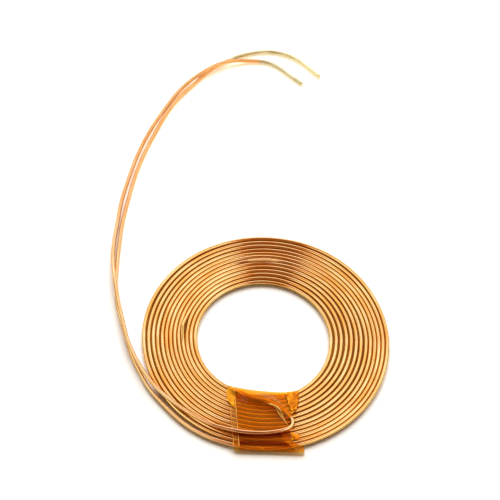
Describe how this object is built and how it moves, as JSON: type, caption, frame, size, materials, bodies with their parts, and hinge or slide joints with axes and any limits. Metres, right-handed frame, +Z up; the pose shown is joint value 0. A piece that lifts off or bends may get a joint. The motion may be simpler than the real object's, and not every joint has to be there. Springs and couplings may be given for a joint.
{
  "type": "wireless charging coil",
  "caption": "Flat spiral coil of enamelled copper wire for wireless charging, held by a band of amber tape, with two long leads ending in tinned tips.",
  "frame": {"origin": "centre of the winding, on the surface that the coil lies on", "axes": "+Z up out of the flat coil, along its magnetic axis; +Y from the taped side towards the opposite side, where the leads run; +X to the right"},
  "size_m": [0.0484, 0.0855, 0.0017],
  "materials": {
    "enamelled_copper": "copper magnet wire under clear glossy enamel",
    "lead_copper": "copper magnet wire under clear glossy enamel",
    "tinned_copper": "dull solder coat on copper",
    "polyimide_tape": "thin amber film, glossy and see-through"
  },
  "bodies": {
    "root": {"winding": "enamelled_copper", "inner_lead": "lead_copper", "outer_lead": "lead_copper", "inner_lead_tip": "tinned_copper", "outer_lead_tip": "tinned_copper", "tape": "polyimide_tape"}
  },
  "joints": []
}
